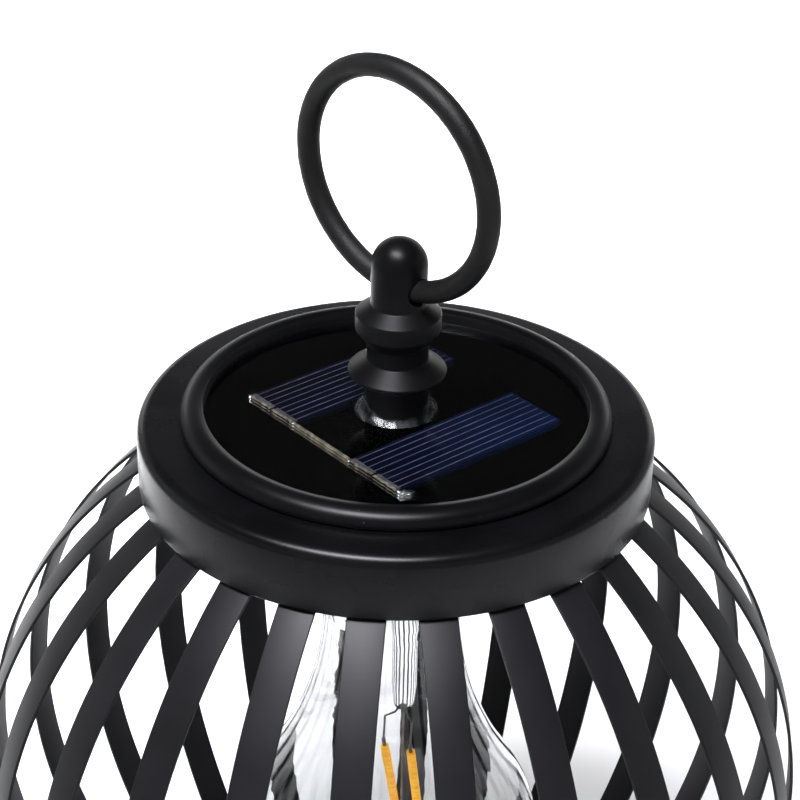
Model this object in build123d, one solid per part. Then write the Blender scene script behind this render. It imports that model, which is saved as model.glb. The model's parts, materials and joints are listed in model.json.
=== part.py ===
from build123d import *
import os
from math import acos, asin, cos, degrees, radians, sin, sqrt

# Solar garden light: a ball-shaped cage of flat strips, a lid with a solar module, a finial with a
# swinging ring above and a large clear bulb below. Millimetres, +Z up, origin on the ground in the
# middle of the base. The cross hole of the finial, and so the ring's swing axis, runs along X.

# Lid and base pan: two round pressings of the same sheet
LID_R = 61.0
SHEET = 1.0
SKIRT_H = 16.0
SHOULDER_R = 2.8
RIM_W = 10.1
SEAT_W = 3.9
DRAIN_R = 2.5
DRAIN_COUNT = 6
DRAIN_CIRCLE_R = 30.0

# Cage: each strip follows one arc from hoop to hoop
STRIP_COUNT = 24
STRIP_W = 8.7
STRIP_T = 0.8
STRIP_PHASE = 5.9
WAIST_R = 103.8
STRIP_ARC_R = 115.5
HOOP_INSET = 7.0
HOOP_T = 1.5
HOOP_H = 15.0

# Rubber feet under the base pan
FOOT_COUNT = 3
FOOT_R = 6.0
FOOT_H = 3.0
FOOT_INSET = 15.0
FOOT_STUD_R = 2.0

# Solar module
GASKET_T = 0.5
GASKET_W = 3.0
BEZEL_W = 5.5
BEZEL_LIP_H = 3.7
BEZEL_CREST_INSET = 2.2
BEZEL_CREST_H = 3.95
FLANGE_T = 0.8
BOARD_T = 0.8
COVER_T = 0.6
HOUSING_WALL = 2.0
HOUSING_DEPTH = 24.0
HOUSING_GAP = 0.4
LUG_COUNT = 3
LUG_ARC = 10.0
LUG_REACH = 2.0
LUG_H = 2.0
LUG_GAP = 0.3
NOTCH_EXTRA_ARC = 2.0

# Solar cells: two rows of two narrow cells
CELL_L = 50.5
CELL_W = 8.3
CELL_T = 0.2
CELL_GAP = 0.2
CELL_TURN = -8.2
CELL_ROW_X = (-18.6, 18.8)
CELL_ROW_Y = 2.1
BUSBAR_W = 1.6
BUSBAR_INSET = 1.2
RIBBON_W = 1.8
RIBBON_T = 0.1

# Finial: turned post moulded in two halves
FINIAL_FOOT_R = 7.5
FINIAL_FOOT_H = 8.0
BEAD_R = 11.6
BEAD_RISE = 2.5
BEAD_EDGE = 0.7
BEAD_FALL = 2.8
NECK_R = 7.2
NECK_H = 4.15
COLLAR_R = 10.0
COLLAR_RISE = 3.6
COLLAR_H = 4.1
COLLAR_TOP = 2.3
POST_R = 6.55
POST_H = 9.7
SPIGOT_R = 4.0
GLUE_W = 2.6
GLUE_H = 4.2
GLUE_BELLY_W = 2.0
GLUE_BELLY_H = 2.2
SCREW_R = 1.45
SCREW_L = 9.0
SCREW_HEAD_R = 3.0
SCREW_HEAD_H = 2.0
WASHER_R = 5.5
WASHER_T = 0.8

# Ring handle
RING_R = 26.7
RING_WIRE_R = 2.7
RING_HOLE_GAP = 0.2
RING_HOLE_H = 4.7
RING_LEAN = 4.05

# Battery, circuit board and switch
BATTERY_R = 7.1
BATTERY_L = 49.5
BATTERY_TIP = 1.0
BATTERY_Y = -23.5
BATTERY_GAP = 0.4
CONTACT_T = 2.5
CONTACT_PLATE_T = 0.6
CONTACT_INSET = 1.0
SPRING_R = 2.5
BATTERY_COVER_LIP = 3.0
PART_GAP = 0.2
PCB_L = 50.0
PCB_W = 20.0
PCB_T = 1.6
PCB_Y = 21.0
PCB_POST_H = 8.0
PCB_POST_R = 2.4
PCB_SCREW_INSET = 4.0
SMALL_SCREW_R = 1.0
SMALL_HEAD_R = 2.0
SMALL_HEAD_H = 1.2
SMALL_SCREW_L = 5.0
SWITCH_X = 31.0
SWITCH_Y = 1.0
SWITCH_L = 9.0
SWITCH_W = 5.0
SWITCH_H = 4.0
KNOB_L = 3.0
KNOB_W = 2.4
KNOB_H = 4.5
KNOB_TRAVEL = 3.0
KNOB_GAP = 0.3
WIRE_R = 0.6
WIRE_SPREAD = 16.0

# Lamp holder and bulb
HOLDER_R = 16.0
HOLDER_H = 21.7
HOLDER_FLANGE_R = 21.0
HOLDER_FLANGE_T = 2.0
HOLDER_SCREW_COUNT = 3
CAP_R = 13.2
CAP_H = 24.0
CAP_CONTACT_R = 5.0
CAP_CONTACT_H = 2.0
CAP_GAP = 0.4
NECK_GLASS_R = 17.0
NECK_GLASS_H = 3.0
BULB_R = 40.0
BULB_DROP = 80.8
GLASS_T = 0.8
STEM_R = 4.2
STEM_L = 37.7
FLARE_R = 10.0
FLARE_H = 10.5
LEAD_R = 0.4
LEAD_DROP = 11.3
FILAMENT_R = 0.9
FILAMENT_L = 38.0
FILAMENT_COUNT = 4
FILAMENT_TOP_R = 4.0
FILAMENT_LOW_R = 9.0
FILAMENT_PHASE = 5.0


# Radii and heights that follow from the sizes above
bezel_r = LID_R - RIM_W
panel_r = bezel_r - BEZEL_W
lid_hole_r = bezel_r - SEAT_W
hoop_r = LID_R - HOOP_INSET
foot_circle_r = LID_R - FOOT_INSET

arc_x = WAIST_R - STRIP_ARC_R
skirt_meet_x = LID_R - 2 * SHEET
skirt_rise = sqrt(STRIP_ARC_R**2 - (skirt_meet_x - arc_x) ** 2)
waist_z = FOOT_H + SKIRT_H + skirt_rise
lid_z = waist_z + skirt_rise + SKIRT_H

gasket_top = lid_z + GASKET_T
panel_z = gasket_top + FLANGE_T
board_top = panel_z - COVER_T
board_low = board_top - BOARD_T
cell_top = board_top + CELL_T
floor_z = lid_z - HOUSING_DEPTH
floor_top = floor_z + HOUSING_WALL
housing_r = lid_hole_r - HOUSING_GAP
housing_inner_r = housing_r - HOUSING_WALL

bead_low_z = panel_z + FINIAL_FOOT_H
bead_top_z = bead_low_z + BEAD_RISE + BEAD_EDGE
neck_z = bead_top_z + BEAD_FALL
collar_low_z = neck_z + NECK_H
collar_z = collar_low_z + COLLAR_RISE
collar_top_z = collar_z + COLLAR_H
post_z = collar_top_z + COLLAR_TOP
dome_z = post_z + POST_H
ring_sag = RING_R - sqrt(RING_R**2 - POST_R**2)
swing_z = post_z + RING_HOLE_H
ring_hole_r = RING_WIRE_R + ring_sag / 2 + RING_HOLE_GAP

pcb_z = floor_top + PCB_POST_H
battery_z = floor_top + BATTERY_GAP + BATTERY_R
holder_low_z = floor_z - HOLDER_H
cap_z = holder_low_z - CAP_GAP - NECK_GLASS_H
bulb_z = cap_z - BULB_DROP
stem_low_z = cap_z - STEM_L
filament_z = stem_low_z - LEAD_DROP


def revolved(points):
    """A solid turned about Z from a closed outline of (radius, height) points."""
    face = Plane.XZ * make_face(Polyline(*points, close=True))
    return revolve(face, axis=Axis.Z)


def disc(radius, low, high):
    """An upright cylinder on the Z axis between two heights."""
    return Pos(0, 0, (low + high) / 2) * Cylinder(radius, high - low)


def tube(outer, inner, low, high):
    """An upright ring between two heights."""
    return disc(outer, low, high) - disc(inner, low - 1, high + 1)


def rod(start, end, radius):
    """A round rod from one point to another."""
    span = Vector(*end) - Vector(*start)
    middle = (Vector(*start) + Vector(*end)) / 2
    return Plane(origin=middle, z_dir=span) * Cylinder(radius, span.length)


def block(length, width, low, high, x=0.0, y=0.0):
    """A box by its plan size, its two heights and its centre."""
    return Pos(x, y, (low + high) / 2) * Box(length, width, high - low)


def around(count, shape, phase=0.0):
    """Copies of a shape, evenly spaced about Z."""
    return [Rot(0, 0, phase + 360.0 * n / count) * shape for n in range(count)]


def pressing():
    """The lid's sheet, flat side up at height 0: a flat top, a rounded shoulder and a short skirt."""
    outer = extrude(Circle(LID_R), -SKIRT_H)
    outer = fillet(outer.edges().filter_by(GeomType.CIRCLE).sort_by(Axis.Z)[-1], SHOULDER_R)
    inner = extrude(Pos(0, 0, -SHEET) * Circle(LID_R - SHEET), -SKIRT_H)
    inner = fillet(inner.edges().filter_by(GeomType.CIRCLE).sort_by(Axis.Z)[-1], SHOULDER_R - SHEET)
    return outer - inner


def sector(outer, arc, low, high):
    """A wedge of a disc, centred on the X axis, for lugs and notches."""
    half = radians(arc / 2)
    wedge = Polyline((0, 0), (2 * outer * cos(half), 2 * outer * sin(half)),
                     (2 * outer * cos(half), -2 * outer * sin(half)), close=True)
    return disc(outer, low, high) & extrude(Pos(0, 0, low) * make_face(wedge), high - low)


def make_lid_cap():
    lid = Pos(0, 0, lid_z) * pressing() - disc(lid_hole_r, lid_z - 2 * SHEET, lid_z + 1)
    notch = sector(lid_hole_r + LUG_REACH, LUG_ARC + 2 * NOTCH_EXTRA_ARC, lid_z - 2 * SHEET, lid_z + 1)
    return lid - around(LUG_COUNT, notch)


def make_base_pan():
    pan = Pos(0, 0, FOOT_H) * Rot(180, 0, 0) * pressing()
    drain = Pos(DRAIN_CIRCLE_R, 0, 0) * disc(DRAIN_R, FOOT_H - 1, FOOT_H + 2 * SHEET)
    stud = Pos(foot_circle_r, 0, 0) * disc(FOOT_STUD_R, FOOT_H - 1, FOOT_H + 2 * SHEET)
    return pan - around(DRAIN_COUNT, drain) - around(FOOT_COUNT, stud, 30)


def make_base_feet():
    foot = fillet(disc(FOOT_R, 0, FOOT_H).edges().sort_by(Axis.Z)[0], FOOT_H / 4)
    stud = disc(FOOT_STUD_R, FOOT_H, FOOT_H + SHEET)
    return around(FOOT_COUNT, Pos(foot_circle_r, 0, 0) * (foot + stud), 30)


def hoop(low):
    return tube(hoop_r, hoop_r - HOOP_T, low, low + HOOP_H - SHEET)


def make_strip():
    """One flat strip on the +X side, its ends cut to the hoops' outer faces."""
    reach = degrees(acos((hoop_r - HOOP_T - arc_x) / STRIP_ARC_R))
    outer = CenterArc((arc_x, 0), STRIP_ARC_R, -reach, 2 * reach)
    inner = CenterArc((arc_x, 0), STRIP_ARC_R - STRIP_T, -reach, 2 * reach)
    edges = [outer, inner, Line(outer @ 0, inner @ 0), Line(outer @ 1, inner @ 1)]
    solid = extrude(Plane.XZ * make_face(Curve() + edges), STRIP_W / 2, both=True)
    return Pos(0, 0, waist_z) * solid - disc(hoop_r, 0, lid_z)


def make_bezel():
    """The raised rim: an upright inner wall up to its lip, then one arc over the crest to the lid."""
    low = (panel_r, panel_z)
    lip = (panel_r, lid_z + BEZEL_LIP_H)
    crest = (bezel_r - BEZEL_CREST_INSET, lid_z + BEZEL_CREST_H)
    foot = (bezel_r, gasket_top)
    edges = [Line(low, lip), ThreePointArc(lip, crest, foot),
             Polyline(foot, (bezel_r - FLANGE_T, gasket_top), (bezel_r - FLANGE_T, panel_z), low)]
    return revolve(Plane.XZ * make_face(Curve() + edges), axis=Axis.Z)


def battery_opening(gap):
    length = BATTERY_L + 2 * CONTACT_T - 2 * gap
    return block(length, 2 * BATTERY_R - 2 * gap, floor_z, floor_top, y=BATTERY_Y)


def pcb_corners():
    x = PCB_L / 2 - PCB_SCREW_INSET
    y = PCB_W / 2 - PCB_SCREW_INSET
    return [(sx * x, PCB_Y + sy * y) for sx in (-1, 1) for sy in (-1, 1)]


def cover_screw_places():
    y = BATTERY_Y - BATTERY_R - BATTERY_COVER_LIP
    return [(side * BATTERY_L / 4, y) for side in (-1, 1)]


def holder_screw_circle():
    return (HOLDER_R + HOLDER_FLANGE_R) / 2


def make_housing():
    pot = disc(housing_r, floor_z, panel_z) - disc(housing_inner_r, floor_top, panel_z + 1)
    pot += tube(bezel_r - FLANGE_T, housing_inner_r, gasket_top, panel_z)
    pot -= disc(panel_r, board_low, panel_z + 1)
    lug_top = lid_z - SHEET - LUG_GAP
    lug = sector(housing_r + LUG_REACH, LUG_ARC, lug_top - LUG_H, lug_top)
    pot += [piece - disc(housing_inner_r, floor_z, lid_z) for piece in around(LUG_COUNT, lug)]
    for x, y in pcb_corners():
        pot += Pos(x, y, 0) * disc(PCB_POST_R, floor_top, pcb_z)
        pot -= Pos(x, y, 0) * disc(SMALL_SCREW_R, pcb_z - SMALL_SCREW_L + PCB_T, pcb_z + 1)
    pot -= battery_opening(0)
    slot = KNOB_L + KNOB_TRAVEL + 2 * KNOB_GAP
    pot -= block(KNOB_W + 2 * KNOB_GAP, slot, floor_z - 1, floor_top + 1, SWITCH_X, SWITCH_Y)
    pot -= disc(CAP_CONTACT_R, floor_z - 1, floor_top + 1)
    screw = Pos(holder_screw_circle(), 0, 0) * disc(SMALL_SCREW_R, floor_z - 1, floor_top + 1)
    return pot - around(HOLDER_SCREW_COUNT, screw, 90)


def make_gasket():
    return tube(bezel_r - FLANGE_T, bezel_r - FLANGE_T - GASKET_W, lid_z, gasket_top) - around(
        LUG_COUNT, sector(lid_hole_r + LUG_REACH, LUG_ARC + 2 * NOTCH_EXTRA_ARC, lid_z, gasket_top))


def make_panel_board():
    return disc(panel_r, board_low, board_top) - disc(SPIGOT_R, board_low - 1, board_top + 1)


def on_panel(shape):
    """Turn a shape from the cells' own directions to the module's."""
    return Rot(0, 0, CELL_TURN) * shape


def cell_places():
    step = (CELL_W + CELL_GAP) / 2
    return [(x + side * step, CELL_ROW_Y) for x in CELL_ROW_X for side in (-1, 1)]


def busbar_y():
    return CELL_ROW_Y - CELL_L / 2 + BUSBAR_INSET + BUSBAR_W / 2


def make_solar_cells():
    return [on_panel(block(CELL_W, CELL_L, board_top, cell_top, x, y)) for x, y in cell_places()]


def make_cell_busbars():
    bars = [block(CELL_W, BUSBAR_W, cell_top, cell_top + RIBBON_T, x, busbar_y()) for x, y in cell_places()]
    return [on_panel(bar) for bar in bars]


def make_tab_ribbon():
    """The tinned ribbon between the two rows, lying on the board in line with the busbars."""
    low = CELL_ROW_X[0] + CELL_W + CELL_GAP / 2
    high = CELL_ROW_X[1] - CELL_W - CELL_GAP / 2
    ribbon = block(high - low, RIBBON_W, board_top, cell_top + RIBBON_T, (low + high) / 2, busbar_y())
    return on_panel(ribbon)


def make_panel_cover():
    """The clear layer over the cells, with the cells, busbars and ribbon set into its underside."""
    cover = disc(panel_r, board_top, panel_z) - disc(SPIGOT_R, board_top - 1, panel_z + 1)
    return cover - make_solar_cells() - make_cell_busbars() - make_tab_ribbon()


def finial_body():
    outline = Polyline(
        (0, board_low), (SPIGOT_R, board_low), (SPIGOT_R, panel_z), (FINIAL_FOOT_R, panel_z),
        (FINIAL_FOOT_R, bead_low_z), (BEAD_R, bead_low_z + BEAD_RISE), (BEAD_R, bead_top_z),
        (NECK_R, neck_z), (NECK_R, collar_low_z), (COLLAR_R, collar_z), (COLLAR_R, collar_top_z),
        (POST_R, post_z), (POST_R, dome_z))
    dome = CenterArc((0, dome_z), POST_R, 0, 90)
    axis = Line((0, dome_z + POST_R), (0, board_low))
    solid = revolve(Plane.XZ * make_face(Curve() + [outline, dome, axis]), axis=Axis.Z)
    solid -= Pos(0, 0, swing_z) * Rot(0, 90, 0) * Cylinder(ring_hole_r, 4 * POST_R)
    return solid - disc(SCREW_R, board_low - 1, board_low + SCREW_L)


def make_finial_half(side):
    """One moulded half, on the -Y side for -1 and on the +Y side for 1."""
    size = 4 * BEAD_R
    tall = dome_z + POST_R - board_low
    half = Pos(0, side * size / 2, board_low + tall / 2) * Box(size, size, 2 * tall)
    return finial_body() & half


def make_finial_screw():
    washer = tube(WASHER_R, SCREW_R, board_low - WASHER_T, board_low)
    head_top = board_low - WASHER_T
    head = fillet(disc(SCREW_HEAD_R, head_top - SCREW_HEAD_H, head_top).edges().sort_by(Axis.Z)[0],
                  SCREW_HEAD_H / 3)
    return head + disc(SCREW_R, head_top, board_low + SCREW_L) + washer


def make_glue_bead():
    foot = (FINIAL_FOOT_R, panel_z)
    toe = (FINIAL_FOOT_R + GLUE_W, panel_z)
    top = (FINIAL_FOOT_R, panel_z + GLUE_H)
    belly = (FINIAL_FOOT_R + GLUE_BELLY_W, panel_z + GLUE_BELLY_H)
    edges = [Line(foot, toe), ThreePointArc(toe, belly, top), Line(top, foot)]
    return revolve(Plane.XZ * make_face(Curve() + edges), axis=Axis.Z)


def make_handle_ring():
    """The ring stands on edge in the XZ plane, its wire in the cross hole, and leans a little."""
    ring = Pos(0, 0, RING_R - ring_sag / 2) * Rot(90, 0, 0) * Torus(RING_R, RING_WIRE_R)
    return Pos(0, 0, swing_z) * Rot(RING_LEAN, 0, 0) * ring


def make_battery_cell():
    body = Pos(0, 0, -BATTERY_TIP / 2) * Cylinder(BATTERY_R, BATTERY_L - BATTERY_TIP)
    tip = Pos(0, 0, (BATTERY_L - BATTERY_TIP) / 2) * Cylinder(BATTERY_R / 3, BATTERY_TIP)
    return Pos(0, BATTERY_Y, battery_z) * Rot(0, 90, 0) * (body + tip)


def make_battery_contacts():
    """A sprung plate at each end of the cell."""
    width = 2 * (BATTERY_R - CONTACT_INSET)
    low = battery_z - BATTERY_R + CONTACT_INSET
    high = battery_z + BATTERY_R - CONTACT_INSET
    spring_l = CONTACT_T - CONTACT_PLATE_T
    plates = []
    for side in (-1, 1):
        end = BATTERY_L / 2 + CONTACT_T
        plate = block(CONTACT_PLATE_T, width, low, high, side * (end - CONTACT_PLATE_T / 2), BATTERY_Y)
        x = side * (end - CONTACT_PLATE_T - spring_l / 2)
        plates.append(plate + Pos(x, BATTERY_Y, battery_z) * Rot(0, 90, 0) * Cylinder(SPRING_R, spring_l))
    return plates


def make_battery_cover():
    """A plate that fills the floor's opening, with two ears held by screws from below."""
    cover = battery_opening(PART_GAP)
    for x, y in cover_screw_places():
        length = 2 * SMALL_HEAD_R + 2
        middle = (y + BATTERY_Y) / 2
        ear = block(length, abs(y - BATTERY_Y) + length, floor_z - SHEET, floor_z, x, middle)
        cover += ear - Pos(x, y, 0) * disc(SMALL_SCREW_R, floor_z - 2 * SHEET, floor_z)
    return cover


def make_board_screws():
    seat = pcb_z + PCB_T
    screw = disc(SMALL_HEAD_R, seat, seat + SMALL_HEAD_H) + disc(SMALL_SCREW_R, seat - SMALL_SCREW_L, seat)
    return [Pos(x, y, 0) * screw for x, y in pcb_corners()]


def make_cover_screws():
    head = disc(SMALL_HEAD_R, floor_z - SHEET - SMALL_HEAD_H, floor_z - SHEET)
    shank = disc(SMALL_SCREW_R, floor_z - SHEET, floor_z)
    return [Pos(x, y, 0) * (head + shank) for x, y in cover_screw_places()]


def make_circuit_board():
    board = block(PCB_L, PCB_W, pcb_z, pcb_z + PCB_T, y=PCB_Y)
    for x, y in pcb_corners():
        board -= Pos(x, y, 0) * disc(SMALL_SCREW_R, pcb_z - 1, pcb_z + PCB_T + 1)
    return board


def make_driver_parts():
    """The charging chip, a coil, a capacitor and a diode on the circuit board."""
    top = pcb_z + PCB_T
    chip = block(5, 6, top, top + 1.5, -8, PCB_Y)
    coil = Pos(4, PCB_Y - 3, 0) * disc(3, top, top + 4)
    capacitor = Pos(14, PCB_Y + 3, 0) * disc(2, top, top + 5)
    diode = block(4, 2, top, top + 1.5, -1, PCB_Y + 6)
    return [chip, coil, capacitor, diode]


def make_lead_wires():
    wire = disc(WIRE_R, pcb_z + PCB_T, board_low)
    return [Pos(side * WIRE_SPREAD, PCB_Y - PCB_W / 4, 0) * wire for side in (-1, 1)]


def make_switch_body():
    return block(SWITCH_W, SWITCH_L, floor_top, floor_top + SWITCH_H, SWITCH_X, SWITCH_Y) - block(
        KNOB_W + 2 * KNOB_GAP, KNOB_L + KNOB_TRAVEL + 2 * KNOB_GAP, floor_top - 1,
        floor_top + SWITCH_H / 2, SWITCH_X, SWITCH_Y)


def make_switch_knob():
    y = SWITCH_Y - KNOB_TRAVEL / 2
    top = floor_top + SWITCH_H / 2 - KNOB_GAP
    return block(KNOB_W, KNOB_L, top - KNOB_H, top, SWITCH_X, y)


def make_lamp_holder():
    holder = disc(HOLDER_R, holder_low_z, floor_z)
    flange = disc(HOLDER_FLANGE_R, floor_z - HOLDER_FLANGE_T, floor_z)
    size = 4 * HOLDER_FLANGE_R
    low_y = BATTERY_Y + BATTERY_R + PART_GAP
    holder += flange & block(size, size, floor_z - HOLDER_FLANGE_T, floor_z, y=low_y + size / 2)
    holder = holder - disc(CAP_R + CAP_GAP, holder_low_z - 1, floor_z - HOLDER_FLANGE_T)
    holder -= disc(CAP_CONTACT_R, floor_z - HOLDER_FLANGE_T - 1, floor_z + 1)
    screw = Pos(holder_screw_circle(), 0, 0) * disc(SMALL_SCREW_R, floor_z - HOLDER_FLANGE_T - 1, floor_z + 1)
    return holder - around(HOLDER_SCREW_COUNT, screw, 90)


def make_holder_screws():
    seat = floor_z - HOLDER_FLANGE_T
    screw = disc(SMALL_HEAD_R, seat - SMALL_HEAD_H, seat) + disc(SMALL_SCREW_R, seat, floor_top)
    return around(HOLDER_SCREW_COUNT, Pos(holder_screw_circle(), 0, 0) * screw, 90)


def make_bulb_cap():
    """The screw shell, its insulator and the centre contact that meets the holder."""
    top = min(cap_z + CAP_H, floor_z - HOLDER_FLANGE_T - CAP_CONTACT_H)
    shell = fillet(disc(CAP_R, cap_z, top).edges().sort_by(Axis.Z)[-1], 2)
    return shell + disc(CAP_CONTACT_R, top, top + CAP_CONTACT_H)


def bulb_solid(inset):
    """The bulb's full shape: a short collar, a concave neck and a ball, each tangent to the next."""
    ball_r = BULB_R - inset
    neck_r = NECK_GLASS_R - inset
    blend_top = cap_z - NECK_GLASS_H
    drop = blend_top - bulb_z
    blend_r = (NECK_GLASS_R**2 + drop**2 - BULB_R**2) / (2 * (BULB_R - NECK_GLASS_R)) + inset
    centre_x = neck_r + blend_r
    meet = degrees(asin(drop / (BULB_R + blend_r - inset)))
    ball = CenterArc((0, bulb_z), ball_r, -90, 90 + meet)
    neck = CenterArc((centre_x, blend_top), blend_r, 180, meet)
    top = cap_z - inset
    sides = Polyline((neck_r, blend_top), (CAP_R - inset, top), (0, top), (0, bulb_z - ball_r))
    return revolve(Plane.XZ * make_face(Curve() + [ball, neck, sides]), axis=Axis.Z)


def make_bulb_glass():
    return bulb_solid(0) - bulb_solid(GLASS_T)


def make_bulb_stem():
    """The glass tube that carries the filaments, flared where it joins the neck."""
    top = cap_z - GLASS_T
    return revolved([(0, top), (FLARE_R, top), (STEM_R, top - FLARE_H), (STEM_R, stem_low_z), (0, stem_low_z)])


def filament_ends(n):
    turn = radians(FILAMENT_PHASE + 360.0 * n / FILAMENT_COUNT)
    high = (FILAMENT_TOP_R * cos(turn), FILAMENT_TOP_R * sin(turn), filament_z)
    low = (FILAMENT_LOW_R * cos(turn), FILAMENT_LOW_R * sin(turn), filament_z - FILAMENT_L)
    return high, low


def make_filaments():
    return [rod(*filament_ends(n), FILAMENT_R) for n in range(FILAMENT_COUNT)]


def make_bulb_leads():
    """A wire from the stem to the top of each filament, and a post with a cross for their lower ends."""
    leads = []
    cross_z = filament_z - FILAMENT_L - 2 * LEAD_R
    for n in range(FILAMENT_COUNT):
        high, low = filament_ends(n)
        start = (high[0] / 2, high[1] / 2, stem_low_z - LEAD_R)
        leads.append(rod(start, (high[0], high[1], filament_z + LEAD_R), LEAD_R))
        leads.append(rod((0, 0, cross_z), (low[0], low[1], cross_z), LEAD_R))
    return [disc(LEAD_R, cross_z - LEAD_R, stem_low_z), *leads]


nodes = {
    "lid_cap": make_lid_cap(),
    "top_hoop": hoop(lid_z - HOOP_H),
    "base_hoop": hoop(FOOT_H + SHEET),
    "base_pan": make_base_pan(),
    "base_feet": make_base_feet(),
    "module_gasket": make_gasket(),
    "module_bezel": make_bezel(),
    "module_housing": make_housing(),
    "panel_board": make_panel_board(),
    "solar_cells": make_solar_cells(),
    "cell_busbars": make_cell_busbars(),
    "tab_ribbon": make_tab_ribbon(),
    "panel_cover": make_panel_cover(),
    "finial_front_half": make_finial_half(-1),
    "finial_rear_half": make_finial_half(1),
    "finial_screw": make_finial_screw(),
    "glue_bead": make_glue_bead(),
    "battery_cell": make_battery_cell(),
    "battery_contacts": make_battery_contacts(),
    "battery_cover": make_battery_cover(),
    "cover_screws": make_cover_screws(),
    "circuit_board": make_circuit_board(),
    "driver_parts": make_driver_parts(),
    "board_screws": make_board_screws(),
    "lead_wires": make_lead_wires(),
    "switch_body": make_switch_body(),
    "switch_knob": make_switch_knob(),
    "lamp_holder": make_lamp_holder(),
    "holder_screws": make_holder_screws(),
    "bulb_cap": make_bulb_cap(),
    "bulb_glass": make_bulb_glass(),
    "bulb_stem": make_bulb_stem(),
    "bulb_leads": make_bulb_leads(),
    "filaments": make_filaments(),
    "handle_ring": make_handle_ring(),
}

strip = make_strip()
for number, piece in enumerate(around(STRIP_COUNT, strip, STRIP_PHASE), start=1):
    nodes[f"cage_strip_{number:02d}"] = piece

os.makedirs("parts", exist_ok=True)
for name, shape in nodes.items():
    if isinstance(shape, list):
        shape = Compound(children=[solid for item in shape for solid in item.solids()])
    export_step(shape, f"parts/{name}.step")

print(f"lid top {lid_z:.2f}, swing axis {swing_z:.2f}, panel {panel_z:.2f}, floor {floor_z:.2f}")
print(f"bulb low point {bulb_z - BULB_R:.2f}, waist {waist_z:.2f}, filament top {filament_z:.2f}")
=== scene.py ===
import json
from math import acos, asin, cos, degrees, exp, pi, radians, sin, sqrt, tan, tau

import bmesh
import bpy
from mathutils import Matrix, Vector, noise


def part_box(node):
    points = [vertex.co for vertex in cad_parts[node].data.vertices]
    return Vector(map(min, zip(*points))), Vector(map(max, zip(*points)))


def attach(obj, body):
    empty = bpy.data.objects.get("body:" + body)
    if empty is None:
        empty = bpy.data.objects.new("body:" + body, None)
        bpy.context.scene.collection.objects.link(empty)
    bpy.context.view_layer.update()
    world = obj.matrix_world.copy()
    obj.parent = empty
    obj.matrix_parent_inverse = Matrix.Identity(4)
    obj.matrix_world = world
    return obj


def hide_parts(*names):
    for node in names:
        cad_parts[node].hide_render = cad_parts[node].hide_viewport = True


# A solar garden light: a ball-shaped cage of black strips with a solar lid, a finial, a ring handle
# and a clear bulb. Metres throughout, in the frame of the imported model: +Z up from the ground, and
# the finial's cross hole along X.

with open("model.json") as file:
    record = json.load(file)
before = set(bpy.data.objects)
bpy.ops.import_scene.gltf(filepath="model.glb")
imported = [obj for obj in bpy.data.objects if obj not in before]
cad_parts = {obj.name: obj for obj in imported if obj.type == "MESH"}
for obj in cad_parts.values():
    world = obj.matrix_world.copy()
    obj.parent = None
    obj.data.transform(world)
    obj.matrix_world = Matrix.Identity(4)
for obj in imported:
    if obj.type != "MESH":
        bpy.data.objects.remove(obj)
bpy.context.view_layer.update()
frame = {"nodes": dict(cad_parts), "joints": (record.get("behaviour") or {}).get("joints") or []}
nodes = frame["nodes"]
MM = 0.001

# Places read from the frame
LID_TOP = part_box("lid_cap")[1].z
LID_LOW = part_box("lid_cap")[0].z
LID_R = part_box("base_pan")[1].x
PAN_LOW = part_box("base_pan")[0].z
PANEL_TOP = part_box("panel_cover")[1].z
CELL_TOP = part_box("solar_cells")[1].z
BOARD_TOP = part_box("panel_board")[1].z
PANEL_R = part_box("panel_board")[1].x
GASKET_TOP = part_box("module_gasket")[1].z
BEZEL_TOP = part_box("module_bezel")[1].z
BEZEL_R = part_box("module_bezel")[1].x
FINIAL_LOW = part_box("finial_front_half")[0].z
FINIAL_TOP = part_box("finial_front_half")[1].z
HOOP_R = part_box("top_hoop")[1].x
WAIST_Z = (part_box("cage_strip_01")[0].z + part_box("cage_strip_01")[1].z) / 2
BULB_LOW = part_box("bulb_glass")[0].z
BULB_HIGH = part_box("bulb_glass")[1].z
BULB_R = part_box("bulb_glass")[1].x
STEM_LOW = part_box("bulb_stem")[0].z
STEM_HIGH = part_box("bulb_stem")[1].z
SWING_Z = next(j for j in frame["joints"] if j["name"] == "handle_swing")["pos_m"][2]

# Sheet metal
SHEET = 1.0 * MM
SHOULDER_R = 2.8 * MM
LID_HOLE_R = 47.0 * MM
NOTCH_R = 49.0 * MM
NOTCH_ARC = radians(14)
NOTCH_COUNT = 3
DRAIN_COUNT = 6
DRAIN_R = 2.5 * MM
DRAIN_CIRCLE_R = 30 * MM
FOOT_COUNT = 3
FOOT_LOW_R = 6 * MM
FOOT_HIGH_R = 5.4 * MM
FOOT_EDGE_R = 0.8 * MM
FOOT_CIRCLE_R = 46 * MM

# Strips of the cage
STRIP_COUNT = 24
STRIP_W = 8.7 * MM
STRIP_T = 0.8 * MM
STRIP_EDGE_R = 0.22 * MM
STRIP_PHASE = radians(5.9)
WAIST_R = 103.8 * MM
STRIP_ARC_R = 115.5 * MM

# Rim round the panel
CREST_R = 3.61 * MM
LIP_W = 0.5 * MM
LIP_TURN = radians(9.2)
LIP_TILT = radians(12)
RIM_WALL = 0.8 * MM
COVER_SINK = 0.16 * MM
COVER_LIFT = 0.03 * MM

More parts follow.
